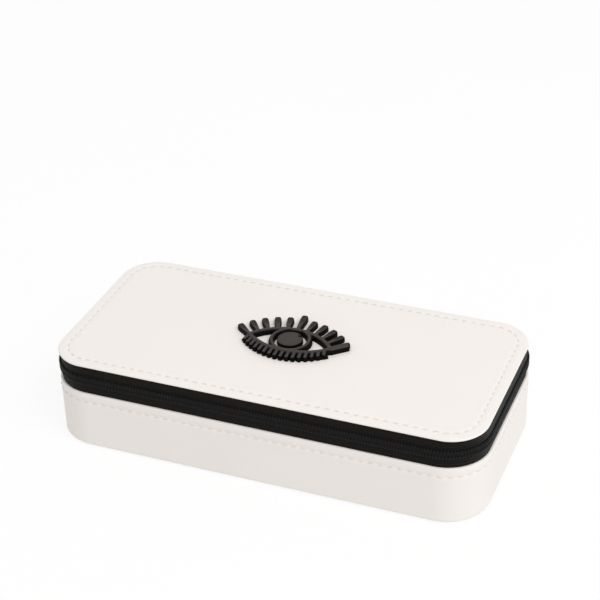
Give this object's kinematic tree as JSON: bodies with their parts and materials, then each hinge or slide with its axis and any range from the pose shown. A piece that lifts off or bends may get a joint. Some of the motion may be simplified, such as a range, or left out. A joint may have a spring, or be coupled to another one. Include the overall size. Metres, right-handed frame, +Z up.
{
  "type": "jewelry box",
  "caption": "Flat rectangular travel jewelry box with a zip round three sides, a hinged lid with a raised eye badge, ring rolls, divided compartments and a lid mirror.",
  "frame": {"origin": "middle of the underside, on the surface that the box rests on", "axes": "+X along the length, +Y towards the hinge at the back, +Z up"},
  "size_m": [0.2033, 0.096, 0.0458],
  "materials": {
    "cover": "soft satin leather-look sheet, off-white",
    "board": "plain grey-brown fibreboard",
    "lining": "short velvet pile, warm beige",
    "foam": "soft foam sheet",
    "zip_tape": "woven black tape, matt",
    "zip_coil": "black nylon coil, satin",
    "zip_metal": "black painted metal, satin",
    "mirror": "silvered glass",
    "badge": "black moulded badge, satin"
  },
  "bodies": {
    "base": {"base_underside": "cover", "base_board": "board", "base_cover": "cover", "base_liner": "lining", "divider_left": "lining", "divider_right": "lining", "divider_end": "lining", "ring_bed": "lining", "ring_roll_1": "lining", "ring_roll_2": "lining", "ring_roll_3": "lining", "ring_roll_4": "lining", "ring_roll_5": "lining", "lower_zip_tape": "zip_tape", "lower_coil": "zip_coil", "lower_top_stop": "zip_metal", "bottom_stop": "zip_metal", "hinge_strip": "cover"},
    "lid": {"lid_board": "board", "lid_padding": "foam", "lid_cover": "cover", "lid_liner": "lining", "mirror": "mirror", "upper_zip_tape": "zip_tape", "upper_coil": "zip_coil", "upper_top_stop": "zip_metal", "eye_emblem": "badge", "eye_pupil": "badge"},
    "slider": {"slider": "zip_metal"},
    "puller": {"puller": "zip_metal"}
  },
  "joints": [
    {"name": "lid_hinge", "type": "hinge", "parent": "base", "child": "lid", "pos_m": [0, 0.047, 0.0352], "axis": [-1, 0, 0], "range_deg": [0, 105], "deforming": ["hinge_strip", "upper_zip_tape", "lower_zip_tape", "upper_coil", "lower_coil"]},
    {"name": "slider_run", "type": "slide", "parent": "base", "child": "slider", "axis": [0, -1, 0], "range_m": [0, 0.041]},
    {"name": "puller_swing", "type": "hinge", "parent": "slider", "child": "puller", "pos_m": [-0.102, 0.0206, 0.0352], "axis": [1, 0, 0], "range_deg": [-45, 100]}
  ]
}
